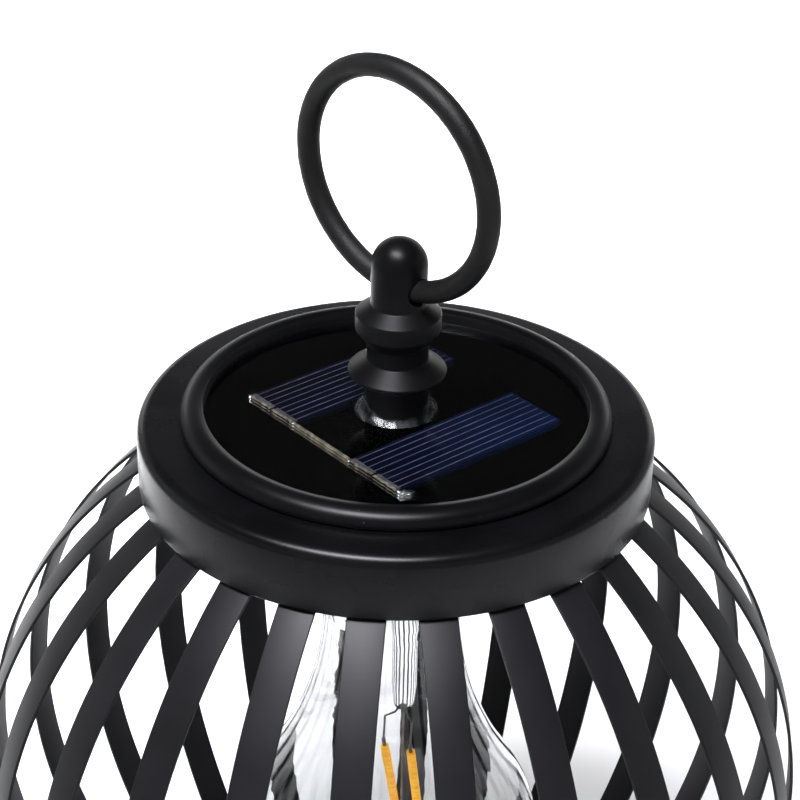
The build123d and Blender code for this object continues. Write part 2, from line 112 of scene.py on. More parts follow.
# Finial, from the panel's surface upwards
FOOT_R = 7.5 * MM
FOOT_H = 8.0 * MM
BEAD_R = 11.6 * MM
BEAD_RISE = 2.5 * MM
BEAD_EDGE = 0.7 * MM
BEAD_FALL = 2.8 * MM
NECK_R = 7.2 * MM
NECK_H = 4.15 * MM
COLLAR_R = 10.0 * MM
COLLAR_RISE = 3.6 * MM
COLLAR_H = 4.1 * MM
COLLAR_FALL = 2.3 * MM
POST_R = 6.55 * MM
SPIGOT_R = 4.0 * MM
BORE_R = 3.31 * MM
SEAM = 0.14 * MM
EDGE_R = 0.32 * MM

# Glue round the finial's foot, tallest at this turn and on the opposite side
GLUE_TURN = radians(41.2)
GLUE_W = 2.55 * MM
GLUE_H = 4.1 * MM

# Ring
RING_R = 26.7 * MM
WIRE_R = 2.7 * MM
RING_LEAN = radians(4.05)
RING_BUTT_TURN = radians(96)
RING_BUTT_W = 0.30 * MM
RING_BUTT_DEPTH = 0.16 * MM
RING_LINE_W = 0.10
RING_LINE_H = 0.05 * MM

# Solar cells, in a plane turned a little from X and Y
CELL_TURN = radians(-8.2)
CELL_L = 50.5 * MM
CELL_W = 8.3 * MM
CELL_GAP = 0.2 * MM
CELL_ROW_X = (-18.6 * MM, 18.8 * MM)
CELL_ROW_Y = 2.1 * MM
FINGER_COUNT = 4
FINGER_W = 0.15 * MM
BUSBAR_W = 1.5 * MM
BUSBAR_INSET = 0.4 * MM

# Bulb
GLASS_T = 0.8 * MM
NECK_GLASS_R = 17.0 * MM
CAP_R = 13.2 * MM
STEM_R = 3.2 * MM
STEM_SHIFT = Vector((2.6, 2.3, 0)) * MM
FILAMENT_R = 1.15 * MM
FILAMENT_L = 36.0 * MM
FILAMENT_TURN = radians(41.2)
STUB_L = 2.2 * MM
STUB_R = 0.55 * MM
LEAD_R = 0.3 * MM
LEAD_FOOT = 2.4 * MM

# Floor and the wall it curves up into
FLOOR_R = 2.0
SWEEP_R = 1.2

# Camera
CAMERA_TURN = radians(41.2)
CAMERA_RISE = radians(30.3)
CAMERA_ROLL = radians(1.23)
CAMERA_DISTANCE = 0.4905
CAMERA_LENS = 93.6
SENSOR_W = 36
AIM_RIGHT = 0.86 * MM
AIM_UP = 3.20 * MM


# ---------------------------------------------------------------- meshes


def finished(name, verts, faces, sharp=35):
    """A mesh object with outward normals, smooth but for edges sharper than the given angle."""
    mesh = bpy.data.meshes.new(name)
    mesh.from_pydata([tuple(v) for v in verts], [], faces)
    bm = bmesh.new()
    bm.from_mesh(mesh)
    bmesh.ops.remove_doubles(bm, verts=bm.verts, dist=1e-7)
    bmesh.ops.recalc_face_normals(bm, faces=bm.faces)
    bm.to_mesh(mesh)
    bm.free()
    mesh.shade_smooth()
    mesh.set_sharp_from_angle(angle=radians(sharp))
    piece = bpy.data.objects.new(name, mesh)
    bpy.context.scene.collection.objects.link(piece)
    return piece


def rounded(points, radius, steps=5):
    """A closed outline of (radius, height) points with its corners off the axis rounded."""
    out = []
    for n, here in enumerate(points):
        p = Vector(here)
        before = Vector(points[n - 1]) - p
        after = Vector(points[(n + 1) % len(points)]) - p
        if p.x < 1e-7:
            out.append(p)
            continue
        reach = min(radius, before.length * 0.45, after.length * 0.45)
        a = p + before.normalized() * reach
        b = p + after.normalized() * reach
        for step in range(steps + 1):
            s = step / steps
            out.append(a * (1 - s) ** 2 + p * (2 * s * (1 - s)) + b * s**2)
    return out


def arc(centre, radius, start, end, steps):
    """Points on an arc, with angles from the +radius direction."""
    angles = [start + (end - start) * n / steps for n in range(steps + 1)]
    return [(centre[0] + radius * cos(a), centre[1] + radius * sin(a)) for a in angles]


def lathe(name, outline, steps=160, shape=None, sharp=35):
    """A solid turned about Z from a closed outline. shape(point, angle) may move each point."""
    verts, rows = [], []
    for r, z in outline:
        if r < 1e-7:
            rows.append([len(verts)] * steps)
            verts.append(Vector((0, 0, z)))
            continue
        rows.append(list(range(len(verts), len(verts) + steps)))
        for n in range(steps):
            turn = tau * n / steps
            moved = shape(Vector((r, z)), turn) if shape else (r, z)
            verts.append(Vector((moved[0] * cos(turn), moved[0] * sin(turn), moved[1])))
    faces = []
    for low, high in zip(rows, rows[1:] + rows[:1]):
        for n in range(steps):
            m = (n + 1) % steps
            face = list(dict.fromkeys((low[n], low[m], high[m], high[n])))
            if len(face) > 2:
                faces.append(face)
    return finished(name, verts, faces, sharp)


def swept(name, path, section, closed=False, sharp=35):
    """A bar: path is a list of (place, side, out) vectors, and section a loop of (side, out) sizes."""
    verts, faces = [], []
    for place, side, out in path:
        verts += [place + side * s + out * t for s, t in section]
    count, size = len(path), len(section)
    for n in range(count if closed else count - 1):
        here, there = n * size, (n + 1) % count * size
        for k in range(size):
            m = (k + 1) % size
            faces.append((here + k, here + m, there + m, there + k))
    if not closed:
        faces.append(tuple(range(size)))
        faces.append(tuple(range((count - 1) * size, count * size)))
    return finished(name, verts, faces, sharp)


def circle(radius, steps=20):
    return [(radius * cos(tau * n / steps), radius * sin(tau * n / steps)) for n in range(steps)]


def bar_section(width, thick, edge, steps=3):
    """A flat bar's cross-section with rounded edges, its outer face at 0."""
    corners = [(width / 2, 0), (width / 2, -thick), (-width / 2, -thick), (-width / 2, 0)]
    shifted = [(x + width, y) for x, y in corners]
    return [(p.x - width, p.y) for p in rounded(shifted, edge, steps)]


def rod_path(points):
    """Sections along straight or gently curved points, for swept."""
    path = []
    for n, p in enumerate(points):
        ahead = points[min(n + 1, len(points) - 1)] - points[max(n - 1, 0)]
        side = ahead.cross(Vector((0.3, 0.9, 0.2))).normalized()
        path.append((p, side, ahead.cross(side).normalized()))
    return path


def cut(piece, cutters):
    """Takes the cutters out of a piece and removes them."""
    for cutter in cutters:
        change = piece.modifiers.new("cut", "BOOLEAN")
        change.operation = "DIFFERENCE"
        change.solver = "EXACT"
        change.object = cutter
    graph = bpy.context.evaluated_depsgraph_get()
    mesh = bpy.data.meshes.new_from_object(piece.evaluated_get(graph))
    piece.modifiers.clear()
    piece.data = mesh
    for cutter in cutters:
        bpy.data.objects.remove(cutter)
    mesh.set_sharp_from_angle(angle=radians(35))


def joined(name, pieces):
    """Several meshes as one object."""
    bm = bmesh.new()
    for piece in pieces:
        bm.from_mesh(piece.data)
        bpy.data.objects.remove(piece)
    mesh = bpy.data.meshes.new(name)
    bm.to_mesh(mesh)
    bm.free()
    mesh.shade_smooth()
    mesh.set_sharp_from_angle(angle=radians(35))
    out = bpy.data.objects.new(name, mesh)
    bpy.context.scene.collection.objects.link(out)
    return out


def soften_edges(piece, width, angle=40):
    bevel = piece.modifiers.new("edge", "BEVEL")
    bevel.width = width
    bevel.segments = 2
    bevel.limit_method = "ANGLE"
    bevel.angle_limit = radians(angle)
    bevel.use_clamp_overlap = True


def place(piece, body, material, slot, *replaced):
    """Gives a piece its material and body, and lets it stand for CAD nodes. The slot argument is not used."""
    piece.data.materials.clear()
    piece.data.materials.append(material)
    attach(piece, body)
    if replaced:
        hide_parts(*replaced)


# ---------------------------------------------------------------- materials


def blank(name):
    """A new node material: its nodes, its links and its Principled shader."""
    material = bpy.data.materials.new(name)
    material.use_nodes = True
    tree = material.node_tree
    return material, tree, tree.nodes["Principled BSDF"]


def noise_node(tree, size, detail=4.0, coords=None, stretch=(1, 1, 1)):
    """Noise whose blotches are about size metres across, in the row frame."""
    if coords is None:
        coords = tree.nodes.new("ShaderNodeTexCoord").outputs["Object"]
    mapping = tree.nodes.new("ShaderNodeMapping")
    mapping.inputs["Scale"].default_value = [s / size for s in stretch]
    texture = tree.nodes.new("ShaderNodeTexNoise")
    texture.inputs["Scale"].default_value = 1.0
    texture.inputs["Detail"].default_value = detail
    tree.links.new(coords, mapping.inputs["Vector"])
    tree.links.new(mapping.outputs["Vector"], texture.inputs["Vector"])
    return texture.outputs["Fac"]


def ramp(tree, value, low, high, start=0.35, end=0.65):
    """A colour between low and high as value goes from start to end."""
    node = tree.nodes.new("ShaderNodeValToRGB")
    node.color_ramp.elements[0].position = start
    node.color_ramp.elements[0].color = (*low, 1)
    node.color_ramp.elements[1].position = end
    node.color_ramp.elements[1].color = (*high, 1)
    tree.links.new(value, node.inputs["Fac"])
    return node.outputs["Color"]


def remap(tree, value, low, high, start=0.3, end=0.7):
    node = tree.nodes.new("ShaderNodeMapRange")
    node.inputs["From Min"].default_value = start
    node.inputs["From Max"].default_value = end
    node.inputs["To Min"].default_value = low
    node.inputs["To Max"].default_value = high
    tree.links.new(value, node.inputs["Value"])
    return node.outputs["Result"]


def bumped(tree, shader, *layers):
    """Stacks bump layers, each (height, depth in metres, strength), on the shader's normal."""
    normal = None
    for height, depth, strength in layers:
        bump = tree.nodes.new("ShaderNodeBump")
        bump.inputs["Distance"].default_value = depth
        bump.inputs["Strength"].default_value = strength
        tree.links.new(height, bump.inputs["Height"])
        if normal is not None:
            tree.links.new(normal, bump.inputs["Normal"])
        normal = bump.outputs["Normal"]
    tree.links.new(normal, shader.inputs["Normal"])


def speckled(tree, colour, size, share, speck):
    """Scatters small light specks of dust over a colour."""
    coords = tree.nodes.new("ShaderNodeTexCoord").outputs["Object"]
    cells = tree.nodes.new("ShaderNodeTexVoronoi")
    cells.inputs["Scale"].default_value = 1 / size
    tree.links.new(coords, cells.inputs["Vector"])
    mask = remap(tree, cells.outputs["Distance"], 1.0, 0.0, share * 0.7, share)
    patch = remap(tree, noise_node(tree, size * 3, 2.0), 0.0, 1.0, 0.5, 0.6)
    both = tree.nodes.new("ShaderNodeMath")
    both.operation = "MULTIPLY"
    tree.links.new(mask, both.inputs[0])
    tree.links.new(patch, both.inputs[1])
    mix = tree.nodes.new("ShaderNodeMix")
    mix.data_type = "RGBA"
    tree.links.new(both.outputs["Value"], mix.inputs["Factor"])
    tree.links.new(colour, mix.inputs["A"])
    mix.inputs["B"].default_value = (*speck, 1)
    return mix.outputs["Result"]


def surface(name, low, high, rough, grain, depth, patch=20 * MM, specular=0.5, metallic=0.0, dust=0.0):
    """A painted, moulded or metal surface: patchy colour and roughness over a fine grain."""
    material, tree, shader = blank(name)
    patches = noise_node(tree, patch, 5.0)
    fine = noise_node(tree, grain, 3.0)
    colour = ramp(tree, patches, low, high)
    if dust:
        colour = speckled(tree, colour, 5 * MM, dust, (0.10, 0.10, 0.11))
    tree.links.new(colour, shader.inputs["Base Color"])
    tree.links.new(remap(tree, patches, rough[0], rough[1]), shader.inputs["Roughness"])
    shader.inputs["Specular IOR Level"].default_value = specular
    shader.inputs["Metallic"].default_value = metallic
    bumped(tree, shader, (fine, depth, 0.6), (patches, depth * 2, 0.2))
    return material


def clear_layer(name, tint, rough, ior, wave, depth):
    """A thin clear layer: see-through, with the gloss of its own surface."""
    material, tree, shader = blank(name)
    tree.nodes.remove(shader)
    through = tree.nodes.new("ShaderNodeBsdfTransparent")
    through.inputs["Color"].default_value = (*tint, 1)
    gloss = tree.nodes.new("ShaderNodeBsdfGlossy")
    gloss.inputs["Roughness"].default_value = rough
    fresnel = tree.nodes.new("ShaderNodeFresnel")
    fresnel.inputs["IOR"].default_value = ior
    mix = tree.nodes.new("ShaderNodeMixShader")
    bump = tree.nodes.new("ShaderNodeBump")
    bump.inputs["Distance"].default_value = depth
    tree.links.new(noise_node(tree, wave, 2.0), bump.inputs["Height"])
    tree.links.new(bump.outputs["Normal"], gloss.inputs["Normal"])
    tree.links.new(bump.outputs["Normal"], fresnel.inputs["Normal"])
    tree.links.new(fresnel.outputs["Fac"], mix.inputs["Fac"])
    tree.links.new(through.outputs["BSDF"], mix.inputs[1])
    tree.links.new(gloss.outputs["BSDF"], mix.inputs[2])
    tree.links.new(mix.outputs["Shader"], tree.nodes["Material Output"].inputs["Surface"])
    return material


def glass(name, colour, rough, wave, depth):
    """Solid clear glass with slight waves from blowing."""
    material, tree, shader = blank(name)
    shader.inputs["Base Color"].default_value = (*colour, 1)
    shader.inputs["Roughness"].default_value = rough
    shader.inputs["IOR"].default_value = 1.47
    shader.inputs["Transmission Weight"].default_value = 1.0
    waves = noise_node(tree, wave, 2.0, stretch=(1, 1, 0.6))
    bumped(tree, shader, (waves, depth, 1.0))
    return material


def cell_material():
    """Silicon cells: navy, with a painted reflection that makes them bluer towards one end and one row, and a
    faint crystal grain along each cell.
    """
    material, tree, shader = blank("solar_cell_blue")
    coords = tree.nodes.new("ShaderNodeTexCoord").outputs["Object"]
    turned = tree.nodes.new("ShaderNodeMapping")
    turned.inputs["Rotation"].default_value = (0, 0, -CELL_TURN)
    tree.links.new(coords, turned.inputs["Vector"])
    axes = tree.nodes.new("ShaderNodeSeparateXYZ")
    tree.links.new(turned.outputs["Vector"], axes.inputs["Vector"])
    # Painted reflection: these ramps make the cells lighter and bluer towards one end and towards one row,
    # standing in for light they reflect.
    along = remap(tree, axes.outputs["Y"], 0.0, 0.75, -CELL_L / 2, CELL_L / 2)
    across = remap(tree, axes.outputs["X"], 0.15, 1.0, CELL_ROW_X[0], CELL_ROW_X[1])
    grain = noise_node(tree, 3 * MM, 6.0, turned.outputs["Vector"], (1, 0.12, 1))
    painted_sheen = tree.nodes.new("ShaderNodeMath")
    painted_sheen.operation = "MULTIPLY"
    tree.links.new(along, painted_sheen.inputs[0])
    tree.links.new(across, painted_sheen.inputs[1])
    grain_and_painted_sheen = tree.nodes.new("ShaderNodeMath")
    grain_and_painted_sheen.operation = "MULTIPLY_ADD"
    grain_and_painted_sheen.inputs[1].default_value = 0.35
    tree.links.new(grain, grain_and_painted_sheen.inputs[0])
    tree.links.new(painted_sheen.outputs["Value"], grain_and_painted_sheen.inputs[2])
    # The brighter blue end of this ramp is the painted reflection, mixed with the crystal grain.
    colour = ramp(tree, grain_and_painted_sheen.outputs["Value"], (0.0005, 0.0007, 0.0030), (0.0008, 0.0065, 0.0300),
                  0.15, 1.05)
    tree.links.new(colour, shader.inputs["Base Color"])
    shader.inputs["Roughness"].default_value = 0.45
    shader.inputs["Specular IOR Level"].default_value = 0.1
    bumped(tree, shader, (grain, 0.01 * MM, 0.5))
    return material


def filament_material():
    """Amber phosphor over a strip of chips: slightly banded along its length, with a painted glow that makes
    it brighter.
    """
    material, tree, shader = blank("filament_phosphor")
    bands = noise_node(tree, 1.2 * MM, 3.0, stretch=(0.3, 0.3, 1.5))
    colour = ramp(tree, bands, (0.85, 0.36, 0.02), (1.0, 0.55, 0.06))
    tree.links.new(colour, shader.inputs["Base Color"])
    # Painted glow: the emission brightens the filament, which is not lit as a lamp here.
    tree.links.new(colour, shader.inputs["Emission Color"])
    shader.inputs["Emission Strength"].default_value = 0.7
    shader.inputs["Roughness"].default_value = 0.5
    bumped(tree, shader, (bands, 0.05 * MM, 0.5))
    return material


def glue_material():
    """Set hot glue: cloudy where it is thick, clear where it is thin, with small bubbles."""
    material, tree, shader = blank("hot_glue")
    cloud = noise_node(tree, 2.2 * MM, 4.0)
    colour = ramp(tree, cloud, (0.010, 0.011, 0.012), (0.060, 0.065, 0.068))
    tree.links.new(colour, shader.inputs["Base Color"])
    tree.links.new(remap(tree, cloud, 0.30, 0.65), shader.inputs["Alpha"])
    shader.inputs["Roughness"].default_value = 0.14
    bumped(tree, shader, (cloud, 0.12 * MM, 0.5), (noise_node(tree, 0.7 * MM, 2.0), 0.03 * MM, 0.4))
    return material


def make_materials():
    m = {
        "coat": surface("black_powder_coat", (0.0022, 0.0022, 0.0028), (0.0036, 0.0036, 0.0045),
                        (0.25, 0.30), 0.35 * MM, 0.012 * MM, specular=0.23, dust=0.03),
        "strip": surface("strip_powder_coat", (0.0055, 0.0055, 0.0068), (0.0085, 0.0085, 0.0105),
                         (0.42, 0.48), 0.35 * MM, 0.015 * MM, specular=0.30, dust=0.02),
        "plastic": surface("black_moulded", (0.0022, 0.0022, 0.0028), (0.0036, 0.0036, 0.0045),
                           (0.28, 0.34), 0.25 * MM, 0.010 * MM, specular=0.18, dust=0.03),
        "finial": surface("black_finial", (0.0025, 0.0025, 0.0030), (0.0045, 0.0045, 0.0053),
                          (0.32, 0.40), 0.30 * MM, 0.020 * MM, specular=0.15),
        "ring": surface("black_grained", (0.0035, 0.0035, 0.0035), (0.0080, 0.0080, 0.0080),
                        (0.46, 0.60), 0.40 * MM, 0.14 * MM, specular=0.30),
        "rubber": surface("black_rubber", (0.010, 0.010, 0.010), (0.018, 0.018, 0.018),
                          (0.65, 0.8), 0.5 * MM, 0.03 * MM),
        "board": surface("panel_back", (0.0015, 0.0015, 0.0025), (0.003, 0.003, 0.0045),
                         (0.35, 0.5), 0.6 * MM, 0.004 * MM, specular=0.3),
        "print": surface("silver_print", (0.10, 0.095, 0.15), (0.20, 0.19, 0.27),
                         (0.4, 0.55), 0.2 * MM, 0.01 * MM, 3 * MM, metallic=0.2),
        "pad": surface("silver_pad", (0.04, 0.04, 0.045), (0.10, 0.10, 0.105),
                       (0.4, 0.6), 0.2 * MM, 0.01 * MM, 1.5 * MM, metallic=0.3),
        "tinned": surface("tinned_ribbon", (0.10, 0.09, 0.06), (0.40, 0.36, 0.26),
                          (0.3, 0.5), 0.5 * MM, 0.05 * MM, 1.2 * MM, metallic=0.6),
        "solder": surface("solder", (0.45, 0.45, 0.46), (0.75, 0.75, 0.76),
                          (0.15, 0.3), 0.6 * MM, 0.10 * MM, 2 * MM, metallic=1.0),
        "steel": surface("zinc_steel", (0.45, 0.45, 0.46), (0.6, 0.6, 0.62),
                         (0.25, 0.4), 0.3 * MM, 0.01 * MM, 4 * MM, metallic=1.0),
        "aluminium": surface("cap_aluminium", (0.6, 0.6, 0.6), (0.75, 0.75, 0.76),
                             (0.25, 0.38), 0.4 * MM, 0.01 * MM, 5 * MM, metallic=1.0),
        "mask": surface("board_green", (0.01, 0.09, 0.03), (0.02, 0.15, 0.05),
                        (0.25, 0.4), 0.4 * MM, 0.02 * MM, 4 * MM),
        "chip": surface("chip_black", (0.012, 0.012, 0.012), (0.02, 0.02, 0.02),
                        (0.5, 0.65), 0.2 * MM, 0.01 * MM, 3 * MM),
        "sleeve": surface("battery_sleeve", (0.02, 0.12, 0.06), (0.03, 0.18, 0.08),
                          (0.25, 0.35), 0.5 * MM, 0.01 * MM, 8 * MM),
        "wire": surface("wire_red", (0.35, 0.01, 0.01), (0.5, 0.02, 0.02),
                        (0.35, 0.5), 0.3 * MM, 0.01 * MM, 4 * MM),
        "lead": surface("lead_nickel", (0.18, 0.17, 0.16), (0.32, 0.31, 0.30),
                        (0.3, 0.45), 0.3 * MM, 0.01 * MM, 3 * MM, metallic=1.0),
        "cover": clear_layer("clear_cover", (0.96, 0.97, 0.98), 0.03, 1.45, 30 * MM, 0.01 * MM),
        "glue": glue_material(),
        "bulb": glass("blown_glass", (0.93, 0.94, 0.945), 0.0, 9 * MM, 0.07 * MM),
        "stem": glass("stem_glass", (0.90, 0.91, 0.91), 0.01, 3 * MM, 0.08 * MM),
        "cell": cell_material(),
        "filament": filament_material(),
    }
    return m


# ---------------------------------------------------------------- cage


def make_lid(m):
    top, low, r = LID_TOP, LID_LOW, LID_R
    centre = (r - SHOULDER_R, top - SHOULDER_R)
    outline = [(LID_HOLE_R, top)]
    outline += arc(centre, SHOULDER_R, pi / 2, 0, 14)
    outline += arc((r - SHEET / 2, low + SHEET / 2), SHEET / 2, 0, -pi, 6)
    outline += arc(centre, SHOULDER_R - SHEET, 0, pi / 2, 10)
    outline += [(LID_HOLE_R, top - SHEET)]
    lid = lathe("lid_pressing", outline, 240)
    cutters = []
    for n in range(NOTCH_COUNT):
        turn = tau * n / NOTCH_COUNT
        corners = []
        for z in (top - 2 * SHEET, top + SHEET):
            for r_, a in ((LID_HOLE_R - 2 * MM, -1), (LID_HOLE_R - 2 * MM, 1), (NOTCH_R, 1), (NOTCH_R, -1)):
                angle = turn + a * NOTCH_ARC / 2
                corners.append((r_ * cos(angle), r_ * sin(angle), z))
        faces = [(0, 1, 2, 3), (4, 5, 6, 7), (0, 1, 5, 4), (1, 2, 6, 5), (2, 3, 7, 6), (3, 0, 4, 7)]
        cutters.append(finished("notch", corners, faces))
    cut(lid, cutters)
    place(lid, "cage", m["coat"], "black_coat", "lid_cap")


def make_base(m):
    low, r = PAN_LOW, LID_R
    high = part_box("base_pan")[1].z
    centre = (r - SHOULDER_R, low + SHOULDER_R)
    outline = [(0, low)]
    outline += arc(centre, SHOULDER_R, -pi / 2, 0, 14)
    outline += arc((r - SHEET / 2, high - SHEET / 2), SHEET / 2, 0, pi, 6)
    outline += arc(centre, SHOULDER_R - SHEET, 0, -pi / 2, 10)
    outline += [(0, low + SHEET)]
    pan = lathe("base_pressing", outline, 200)
    drains = []
    for n in range(DRAIN_COUNT):
        turn = tau * n / DRAIN_COUNT
        drain = lathe("drain", [(0, low - SHEET), (DRAIN_R, low - SHEET), (DRAIN_R, low + 2 * SHEET),
                                (0, low + 2 * SHEET)], 32)
        drain.data.transform(Matrix.Translation((DRAIN_CIRCLE_R * cos(turn), DRAIN_CIRCLE_R * sin(turn), 0)))
        drains.append(drain)
    cut(pan, drains)
    place(pan, "cage", m["coat"], "black_coat", "base_pan")

    feet = []
    for n in range(FOOT_COUNT):
        turn = tau * n / FOOT_COUNT + radians(30)
        outline = rounded([(0, 0), (FOOT_LOW_R, 0), (FOOT_HIGH_R, low), (0, low)], FOOT_EDGE_R)
        foot = lathe("foot", outline, 48)
        foot.data.transform(Matrix.Translation((FOOT_CIRCLE_R * cos(turn), FOOT_CIRCLE_R * sin(turn), 0)))
        feet.append(foot)
    place(joined("rubber_feet", feet), "cage", m["rubber"], "foot_rubber", "base_feet")


def strip_profile(steps=72):
    """(radius, height, outward angle) along a strip, from its lower hoop to its upper hoop."""
    centre = WAIST_R - STRIP_ARC_R
    reach = acos((HOOP_R - centre) / STRIP_ARC_R)
    angles = [-reach + 2 * reach * n / steps for n in range(steps + 1)]
    return [(centre + STRIP_ARC_R * cos(a), WAIST_Z + STRIP_ARC_R * sin(a), a) for a in angles]


def make_strips(m):
    section = bar_section(STRIP_W, STRIP_T, STRIP_EDGE_R)
    profile = strip_profile()
    for n in range(STRIP_COUNT):
        turn = STRIP_PHASE + tau * n / STRIP_COUNT
        spin = Matrix.Rotation(turn, 3, "Z")
        path = []
        for r, z, a in profile:
            path.append((spin @ Vector((r, 0, z)), spin @ Vector((0, 1, 0)),
                         spin @ Vector((cos(a), 0, sin(a)))))
        name = f"cage_strip_{n + 1:02d}"
        strip = swept(name + "_bar", path, section, sharp=50)
        place(strip, "cage", m["strip"], "black_coat", name)


# ---------------------------------------------------------------- module


def make_bezel(m):
    """A raised rim: a crisp inner lip over the recessed panel, a broad crest and a step at the lid."""
    inner, outer = PANEL_R + 0.02 * MM, BEZEL_R
    centre = (outer - CREST_R, BEZEL_TOP - CREST_R)
    lip = acos((inner - centre[0]) / CREST_R)
    land = centre[1] + CREST_R * sin(lip - LIP_TURN) - 0.01 * MM
    outline = [(inner, PANEL_TOP), (inner, land - LIP_W * tan(LIP_TILT) - 0.02 * MM),
               (inner + 0.02 * MM, land - LIP_W * tan(LIP_TILT))]
    outline += arc(centre, CREST_R, lip - LIP_TURN, 0.04, 26)
    outline += [(outer - 0.05 * MM, GASKET_TOP + 0.12 * MM), (outer - 0.2 * MM, GASKET_TOP),
                (outer - RIM_WALL, GASKET_TOP), (outer - RIM_WALL, PANEL_TOP)]
    bezel = lathe("bezel_rim", outline, 240, sharp=50)
    place(bezel, "module", m["plastic"], "black_plastic", "module_bezel")


def make_cover(m):
    """Clear resin just clear of the board, over the cells and drawn up a little at the rim."""
    r, top = PANEL_R, PANEL_TOP
    low, flat = BOARD_TOP + COVER_LIFT, PANEL_TOP - COVER_SINK
    outline = [(SPIGOT_R, low), (r, low), (r, top - 0.02 * MM), (r - 0.2 * MM, top - 0.12 * MM),
               (r - 0.5 * MM, flat), (r - 1.2 * MM, flat), (FOOT_R + 1.5 * MM, flat),
               (FOOT_R + 0.5 * MM, flat), (SPIGOT_R, flat)]
    cover = lathe("resin_cover", outline, 240)
    place(cover, "module", m["cover"], "clear_cover", "panel_cover")


def cell_xy(x, y):
    return Vector((x * cos(CELL_TURN) - y * sin(CELL_TURN), x * sin(CELL_TURN) + y * cos(CELL_TURN), 0))


def flat_bar(name, start, end, width, low, high, wobble=0.0, steps=24):
    """A thin bar between two points of the cells' plane, its edges a little uneven."""
    line = Vector(end) - Vector(start)
    side = Vector((-line.y, line.x)).normalized()
    path = []
    for n in range(steps + 1):
        p = Vector(start) + line * (n / steps)
        sway = noise.noise(Vector((p.x * 900, p.y * 900, width * 1e4))) * wobble
        q = cell_xy(p.x + side.x * sway, p.y + side.y * sway)
        path.append((Vector((q.x, q.y, high)), cell_xy(side.x, side.y), Vector((0, 0, 1))))
    section = bar_section(width, high - low, (high - low) * 0.4, 2)
    return swept(name, path, section)


def make_cell_lines(m):
    """Silver lines along each cell, printed pads at the near end and a tinned wire soldered over them."""
    near = CELL_ROW_Y - CELL_L / 2
    far = CELL_ROW_Y + CELL_L / 2
    bar_y = near + BUSBAR_INSET + BUSBAR_W / 2
    fingers, pads, wires = [], [], []
    step = (CELL_W + CELL_GAP) / 2
    for row in CELL_ROW_X:
        for side in (-1, 1):
            x = row + side * step
            for k in range(FINGER_COUNT):
                fx = x + (k - (FINGER_COUNT - 1) / 2) * CELL_W / FINGER_COUNT
                fingers.append(flat_bar("finger", (fx, near + 0.6 * MM), (fx, far - 0.5 * MM), FINGER_W,
                                        CELL_TOP, CELL_TOP + 0.02 * MM))
            half = CELL_W / 2 - 0.30 * MM
            pads.append(flat_bar("pad", (x - half, bar_y), (x + half, bar_y), BUSBAR_W,
                                 CELL_TOP, CELL_TOP + 0.03 * MM, 0.10 * MM))
            wires.append(flat_bar("wire", (x - half - 0.1 * MM, near + 0.45 * MM),
                                  (x + half, near + 0.45 * MM),
                                  0.75 * MM, CELL_TOP, CELL_TOP + 0.10 * MM, 0.30 * MM))
    place(joined("cell_fingers", fingers), "module", m["print"], "silver_print")
    place(joined("cell_pads", pads), "module", m["pad"], "silver_print", "cell_busbars")
    place(joined("soldered_wires", wires), "module", m["tinned"], "silver_print")
    left = CELL_ROW_X[0] + CELL_W - 0.6 * MM
    right = CELL_ROW_X[1] - CELL_W + 0.6 * MM
    ribbon = flat_bar("tinned_ribbon", (left, near + 0.5 * MM), (right, near + 0.5 * MM), 0.95 * MM,
                      BOARD_TOP + 0.12 * MM, CELL_TOP + 0.10 * MM, 0.18 * MM, 40)
    place(ribbon, "module", m["tinned"], "silver_print", "tab_ribbon")


def blob(name, centre, size, turn, seed, steps=24):
    """A rounded lump of solder with an uneven surface."""
    outline = [(0, 0)] + [(cos(a), sin(a)) for a in [n * pi / 2 / 8 for n in range(9)]]
    outline[-1] = (0, 1)

    def lumpy(p, a):
        wave = 1 + 0.35 * noise.noise(Vector((cos(a) * 1.9, sin(a) * 1.9, p.y * 2 + seed)))
        return p.x * wave, p.y * (0.8 + 0.2 * wave)

    lump = lathe(name, outline, steps, lumpy)
    lump.data.transform(Matrix.Translation(centre) @ Matrix.Rotation(CELL_TURN + turn, 4, "Z")
                        @ Matrix.Diagonal((size[0], size[1], size[2], 1)))
    return lump


def make_solder(m):
    """Blobs where the wire meets the rows, and a larger one past the front row's near corner."""
    y = CELL_ROW_Y - CELL_L / 2 + 0.4 * MM
    end = CELL_ROW_X[1] + CELL_W
    places = [(end + 1.6 * MM, y + 1.4 * MM, 1.9, 0.9, 55), (end + 0.2 * MM, y + 0.3 * MM, 0.9, 0.6, 10),
              (CELL_ROW_X[0] - CELL_W + 0.2 * MM, y, 0.8, 0.6, 0), (CELL_ROW_X[0] + CELL_W, y, 0.6, 0.5, 0),
              (CELL_ROW_X[1] - CELL_W, y, 0.6, 0.5, 0)]
    blobs = []
    for n, (x, y, long, wide, turn) in enumerate(places):
        p = cell_xy(x, y)
        p.z = BOARD_TOP + 0.05 * MM
        blobs.append(blob("blob", p, (long * MM, wide * MM, 0.38 * MM), radians(turn), n * 3.1))
    place(joined("solder_blobs", blobs), "module", m["solder"], "silver_print")


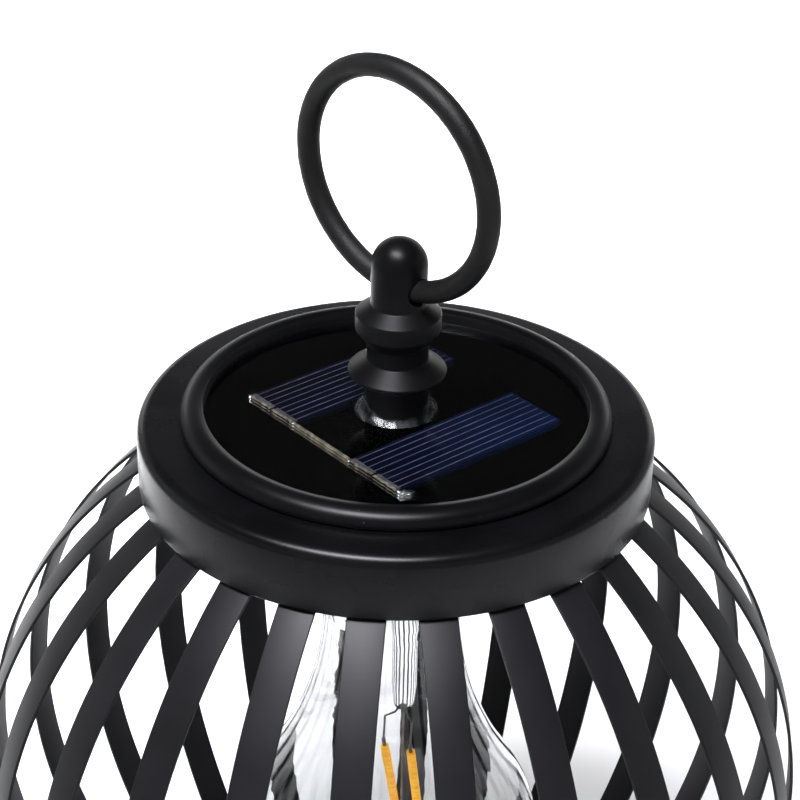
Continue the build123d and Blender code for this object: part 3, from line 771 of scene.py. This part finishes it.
def finial_outline():
    z = PANEL_TOP
    post = FINIAL_TOP - POST_R
    low = z + FOOT_H
    edge = low + BEAD_RISE
    bead = edge + BEAD_EDGE
    neck = bead + BEAD_FALL
    collar = neck + NECK_H
    shoulder = collar + COLLAR_RISE
    cap = shoulder + COLLAR_H
    top = cap + COLLAR_FALL
    points = [(0, FINIAL_LOW), (SPIGOT_R, FINIAL_LOW), (SPIGOT_R, z), (FOOT_R, z), (FOOT_R, low),
              (BEAD_R, edge), (BEAD_R, bead), (NECK_R, neck), (NECK_R, collar), (COLLAR_R, shoulder),
              (COLLAR_R, cap), (POST_R, top), (POST_R, post)]
    body = rounded(points, EDGE_R, 4)[:-5]
    dome = [Vector(p) for p in arc((0, post), POST_R, 0, pi / 2, 16)][:-1]
    return [*body, *dome, Vector((0, FINIAL_TOP))]


def make_finial(m):
    """Two moulded halves with a fine seam between them, cut by the ring's cross hole."""
    steps = 128
    whole = lathe("finial", finial_outline(), steps, sharp=50)
    whole.data.transform(Matrix.Rotation(pi / steps, 4, "Z"))
    reach = 3 * POST_R
    bore = lathe("bore", rounded([(0, -reach), (BORE_R, -reach), (BORE_R, reach), (0, reach)], 0.1 * MM), 64)
    bore.data.transform(Matrix.Translation((0, 0, SWING_Z)) @ Matrix.Rotation(pi / 2, 4, "Y"))
    cut(whole, [bore])
    for side, name in ((-1, "finial_front_half"), (1, "finial_rear_half")):
        bm = bmesh.new()
        bm.from_mesh(whole.data)
        geometry = bm.verts[:] + bm.edges[:] + bm.faces[:]
        kept = bmesh.ops.bisect_plane(bm, geom=geometry, plane_co=(0, side * 0.04 * MM, 0),
                                      plane_no=(0, -side, 0), clear_outer=True)
        rim = [e for e in kept["geom_cut"] if isinstance(e, bmesh.types.BMEdge)]
        bmesh.ops.holes_fill(bm, edges=rim)
        bmesh.ops.recalc_face_normals(bm, faces=bm.faces)
        mesh = bpy.data.meshes.new(name + "_shell")
        bm.to_mesh(mesh)
        bm.free()
        mesh.set_sharp_from_angle(angle=radians(50))
        half = bpy.data.objects.new(name + "_shell", mesh)
        bpy.context.scene.collection.objects.link(half)
        soften_edges(half, SEAM, 60)
        place(half, "module", m["finial"], "finial_plastic", name)
    bpy.data.objects.remove(whole)


def make_glue(m):
    """Clear hot glue round the foot: two tall lobes at its sides and a low fillet between them."""
    r, z = FOOT_R - 0.15 * MM, PANEL_TOP - 0.10 * MM
    ramp_up = [n / 12 for n in range(13)]
    outline = [(r, z)] + [(r + GLUE_W * (1 - s) ** 1.25, z + GLUE_H * s) for s in ramp_up]

    def uneven(p, turn):
        side = cos(turn - GLUE_TURN) ** 2
        wave = noise.noise(Vector((cos(turn) * 2.3, sin(turn) * 2.3, 4.2)))
        lobe = 0.42 + 0.58 * side**2 + 0.16 * wave
        up = (p.y - z) / GLUE_H
        belly = 1 + 0.35 * side * sin(pi * up)
        width = min(1.0, 0.62 + 0.38 * side + 0.12 * wave)
        return r + (p.x - r) * width * belly, z + (p.y - z) * lobe

    glue = lathe("hot_glue", outline, 128, uneven, 70)
    place(glue, "module", m["glue"], "clear_glue", "glue_bead")


# ---------------------------------------------------------------- bulb


def bulb_outline(inset):
    """From the ball's low pole up to the neck's mouth, drawn inwards by inset."""
    ball_z = BULB_LOW + BULB_R
    blend_z = BULB_HIGH - 3 * MM
    drop = blend_z - ball_z
    blend_r = (NECK_GLASS_R**2 + drop**2 - BULB_R**2) / (2 * (BULB_R - NECK_GLASS_R))
    centre_x = NECK_GLASS_R + blend_r
    meet = asin(drop / (BULB_R + blend_r))
    points = arc((0, ball_z), BULB_R - inset, -pi / 2, meet, 40)
    points[0] = (0, ball_z - BULB_R + inset)
    points += arc((centre_x, blend_z), blend_r + inset, pi + meet, pi, 24)[1:]
    return [*points, (CAP_R - inset, BULB_HIGH)]


def make_bulb(m):
    """A blown shell of slightly uneven thickness, with its stem, lead wires and filaments."""
    outside = bulb_outline(0)
    inside = bulb_outline(GLASS_T)[::-1]

    def blown(p, turn):
        wave = noise.noise(Vector((cos(turn) * p[0] * 55, sin(turn) * p[0] * 55, p[1] * 40)))
        return p[0] - 0.22 * MM * abs(wave), p[1]

    shell = lathe("blown_bulb", outside + inside, 144, blown, 80)
    place(shell, "module", m["bulb"], "bulb_clear", "bulb_glass")

    def shifted(piece):
        piece.data.transform(Matrix.Translation(STEM_SHIFT))
        return piece

    flare = [(0, STEM_HIGH), (9 * MM, STEM_HIGH), (8.2 * MM, STEM_HIGH - 1.5 * MM),
             (STEM_R + 1 * MM, STEM_HIGH - 9 * MM), (STEM_R, STEM_HIGH - 16 * MM),
             (STEM_R, STEM_LOW + 7 * MM), (STEM_R * 0.8, STEM_LOW + 1 * MM),
             (STEM_R * 0.5, STEM_LOW), (0, STEM_LOW)]
    stem = shifted(lathe("glass_stem", rounded(flare, 1.2 * MM, 5), 64))
    place(stem, "module", m["stem"], "bulb_clear", "bulb_stem")

    filaments, leads = [], []
    stub, wire = circle(STUB_R, 12), circle(LEAD_R, 10)
    root = Vector((0, 0, STEM_LOW + 2 * MM))
    for high, low in filament_ends():
        filaments.append(swept("filament", rod_path([high + (low - high) * n / 12 for n in range(13)]),
                               circle(FILAMENT_R, 24)))
        tip = (high - low).normalized() * STUB_L
        bend = Vector((high.x, high.y, STEM_LOW - 1.5 * MM))
        knee = Vector((high.x * 0.45, high.y * 0.45, STEM_LOW - 1.0 * MM))
        foot = Vector((0, 0, low.z - LEAD_FOOT))
        leads.append(swept("lead", rod_path([high - tip * 0.2, high + tip]), stub))
        leads.append(swept("lead", rod_path([high + tip * 0.9, bend, knee, root]), wire))
        leads.append(swept("lead", rod_path([low, low - tip * 0.8]), stub))
        leads.append(swept("lead", rod_path([low - tip * 0.7, foot]), wire))
    bottom = min(low.z for _, low in filament_ends()) - LEAD_FOOT
    leads.append(swept("lead", rod_path([root, Vector((0, 0, bottom))]), wire))
    place(shifted(joined("filament_rods", filaments)), "module", m["filament"], "filament_amber", "filaments")
    place(shifted(joined("lead_supports", leads)), "module", m["lead"], "lead_metal", "bulb_leads")


def filament_ends():
    """Upper and lower end of each filament; the pair leans as a twisted pair does."""
    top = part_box("filaments")[1].z
    along = Vector((cos(FILAMENT_TURN), sin(FILAMENT_TURN), 0))
    across = Vector((sin(FILAMENT_TURN), -cos(FILAMENT_TURN), 0))
    ends = []
    for start, finish in (((-4.7, 2.0), (1.2, 4.0)), ((2.1, 4.4), (5.8, -2.0))):
        high = (along * start[0] + across * start[1]) * MM
        low = (along * finish[0] + across * finish[1]) * MM
        ends.append((Vector((high.x, high.y, top)), Vector((low.x, low.y, top - FILAMENT_L))))
    return ends


# ---------------------------------------------------------------- ring


def make_ring(m):
    """The ring, with a fine mould line round it and a butt line across its top."""
    steps, size = 220, 36
    centre_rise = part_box("handle_ring")[1].z - SWING_Z - WIRE_R * 1.0
    verts, faces = [], []
    lift = (RING_R + sqrt(RING_R**2 - POST_R**2)) / 2
    for n in range(steps):
        turn = tau * n / steps
        groove = RING_BUTT_DEPTH * exp(-(((turn - RING_BUTT_TURN) * RING_R / RING_BUTT_W) ** 2))
        for k in range(size):
            a = tau * k / size
            outer = exp(-((min(a, tau - a) / RING_LINE_W) ** 2))
            inner = exp(-(((a - pi) / RING_LINE_W) ** 2))
            rough = RING_LINE_H * noise.noise(Vector((cos(turn) * 24, sin(turn) * 24, a)))
            r = WIRE_R - groove + RING_LINE_H * (outer + inner) + rough - RING_LINE_H
            x = (RING_R + r * cos(a)) * cos(turn)
            z = (RING_R + r * cos(a)) * sin(turn) + lift
            verts.append(Vector((x, r * sin(a), z)))
    for n in range(steps):
        here, there = n * size, (n + 1) % steps * size
        for k in range(size):
            j = (k + 1) % size
            faces.append((here + k, here + j, there + j, there + k))
    ring = finished("ring_handle", verts, faces, 80)
    ring.data.transform(Matrix.Translation((0, 0, SWING_Z)) @ Matrix.Rotation(RING_LEAN, 4, "X"))
    place(ring, "handle", m["ring"], "ring_black", "handle_ring")


# ---------------------------------------------------------------- carried-over CAD nodes


def finish_cad_nodes(m):
    """The CAD nodes whose shape is right keep it, with softened edges and their own material."""
    kinds = {
        "coat": ["top_hoop", "base_hoop"],
        "rubber": ["module_gasket"],
        "plastic": ["module_housing", "battery_cover", "lamp_holder", "switch_body", "switch_knob"],
        "board": ["panel_board"],
        "cell": ["solar_cells"],
        "steel": ["finial_screw", "cover_screws", "board_screws", "holder_screws", "battery_contacts"],
        "mask": ["circuit_board"],
        "chip": ["driver_parts"],
        "sleeve": ["battery_cell"],
        "wire": ["lead_wires"],
        "aluminium": ["bulb_cap"],
    }
    unsoftened = {"solar_cells", "panel_board", "lead_wires"}
    for kind, names in kinds.items():
        for name in names:
            piece = nodes[name]
            piece.data.materials.clear()
            piece.data.materials.append(m[kind])
            if name not in unsoftened:
                soften_edges(piece, 0.2 * MM)


# ---------------------------------------------------------------- stage


def make_stage():
    """A pale floor that curves up into a low wall all round, under a sky that is pale near the horizon."""
    steps = 96
    profile = [(0.3, 0), (FLOOR_R, 0)] + arc((FLOOR_R, SWEEP_R), SWEEP_R, -pi / 2, 0, 16)[1:]
    verts = [(0, 0, 0)]
    for r, z in profile:
        verts += [(r * cos(tau * n / steps), r * sin(tau * n / steps), z) for n in range(steps)]
    faces = [(0, 1 + n, 1 + (n + 1) % steps) for n in range(steps)]
    for k in range(len(profile) - 1):
        a, b = 1 + k * steps, 1 + (k + 1) * steps
        faces += [(a + n, b + n, b + (n + 1) % steps, a + (n + 1) % steps) for n in range(steps)]
    floor = finished("floor", verts, faces)
    material, tree, shader = blank("pale_floor")
    tree.links.new(ramp(tree, noise_node(tree, 0.5), (0.93, 0.93, 0.93), (0.95, 0.95, 0.95)),
                   shader.inputs["Base Color"])
    shader.inputs["Roughness"].default_value = 0.9
    shader.inputs["Specular IOR Level"].default_value = 0.1
    floor.data.materials.append(material)
    lit = bpy.data.collections.new("floor_only")
    lit.objects.link(floor)
    world = bpy.data.worlds.new("studio")
    bpy.context.scene.world = world
    world.use_nodes = True
    tree = world.node_tree
    back = tree.nodes["Background"]
    back.inputs["Color"].default_value = (1.0, 1.0, 1.0, 1)
    height = tree.nodes.new("ShaderNodeSeparateXYZ")
    tree.links.new(tree.nodes.new("ShaderNodeTexCoord").outputs["Generated"], height.inputs["Vector"])
    tree.links.new(remap(tree, height.outputs["Z"], 0.75, 0.04, sin(radians(9)), sin(radians(24))),
                   back.inputs["Strength"])


def area_light(name, place_at, aim, size, power, spread=180, colour=(1, 1, 1)):
    data = bpy.data.lights.new(name, "AREA")
    data.shape = "RECTANGLE"
    data.size, data.size_y = size
    data.energy = power
    data.color = colour
    data.spread = radians(spread)
    lamp = bpy.data.objects.new(name, data)
    lamp.location = place_at
    lamp.rotation_euler = (place_at - aim).to_track_quat("Z", "Y").to_euler()
    bpy.context.scene.collection.objects.link(lamp)
    return lamp


def around_lid(turn, rise, distance):
    """A place seen from the lid at an angle right of the camera and a height, both in degrees."""
    a = CAMERA_TURN + radians(turn)
    e = radians(rise)
    return Vector((0, 0, LID_TOP)) + Vector((sin(a) * cos(e), -cos(a) * cos(e), sin(e))) * distance


def make_lights():
    """A key box above the camera's side, a low wall behind and a weak one at each side. Two more boxes,
    backdrop and floor_fill, are linked to the floor: they make it pale and don't light the lantern."""
    lid = Vector((0, 0, LID_TOP))
    area_light("key", around_lid(-28, 64, 1.1), lid, (0.80, 0.35), 2.9, 50, (0.93, 0.93, 1.0))
    floor_behind = Vector((-sin(CAMERA_TURN), cos(CAMERA_TURN), 0)) * 0.76
    backdrop = area_light("backdrop", floor_behind + Vector((0, 0, 1.2)), floor_behind, (0.6, 1.25), 6.0, 28)
    backdrop.light_linking.receiver_collection = bpy.data.collections["floor_only"]
    fill = area_light("floor_fill", Vector((0, 0, 3)), Vector((0, 0, 0)), (6, 6), 50)
    fill.light_linking.receiver_collection = bpy.data.collections["floor_only"]
    area_light("back_wall", around_lid(180, 8, 1.3), lid, (2.2, 0.4), 3.2)
    area_light("left_wall", around_lid(-100, 14, 1.0), lid, (0.4, 0.7), 0.25)
    area_light("right_wall", around_lid(100, 14, 1.0), lid, (0.4, 0.7), 0.15)


def make_camera():
    """The camera looks down at the middle of the lid, a touch off centre and rolled."""
    centre = Vector((0, 0, LID_TOP))
    out = Vector((sin(CAMERA_TURN) * cos(CAMERA_RISE), -cos(CAMERA_TURN) * cos(CAMERA_RISE),
                  sin(CAMERA_RISE)))
    level = Vector((cos(CAMERA_TURN), sin(CAMERA_TURN), 0))
    rise = out.cross(level)
    right = level * cos(CAMERA_ROLL) + rise * sin(CAMERA_ROLL)
    up = rise * cos(CAMERA_ROLL) - level * sin(CAMERA_ROLL)
    location = centre + out * CAMERA_DISTANCE
    back = (location - centre - right * AIM_RIGHT - up * AIM_UP).normalized()
    right = (right - back * right.dot(back)).normalized()
    up = back.cross(right)
    data = bpy.data.cameras.new("camera")
    data.lens = CAMERA_LENS
    data.sensor_width = SENSOR_W
    data.clip_start = 0.01
    camera = bpy.data.objects.new("camera", data)
    camera.matrix_world = Matrix.Translation(location) @ Matrix((right, up, back)).transposed().to_4x4()
    bpy.context.scene.collection.objects.link(camera)
    bpy.context.scene.camera = camera


m = make_materials()
make_lid(m)
make_base(m)
make_strips(m)
make_bezel(m)
make_cover(m)
make_cell_lines(m)
make_solder(m)
make_finial(m)
make_glue(m)
make_bulb(m)
make_ring(m)
finish_cad_nodes(m)
make_stage()
make_lights()
make_camera()
bpy.context.scene.view_settings.view_transform = "Standard"
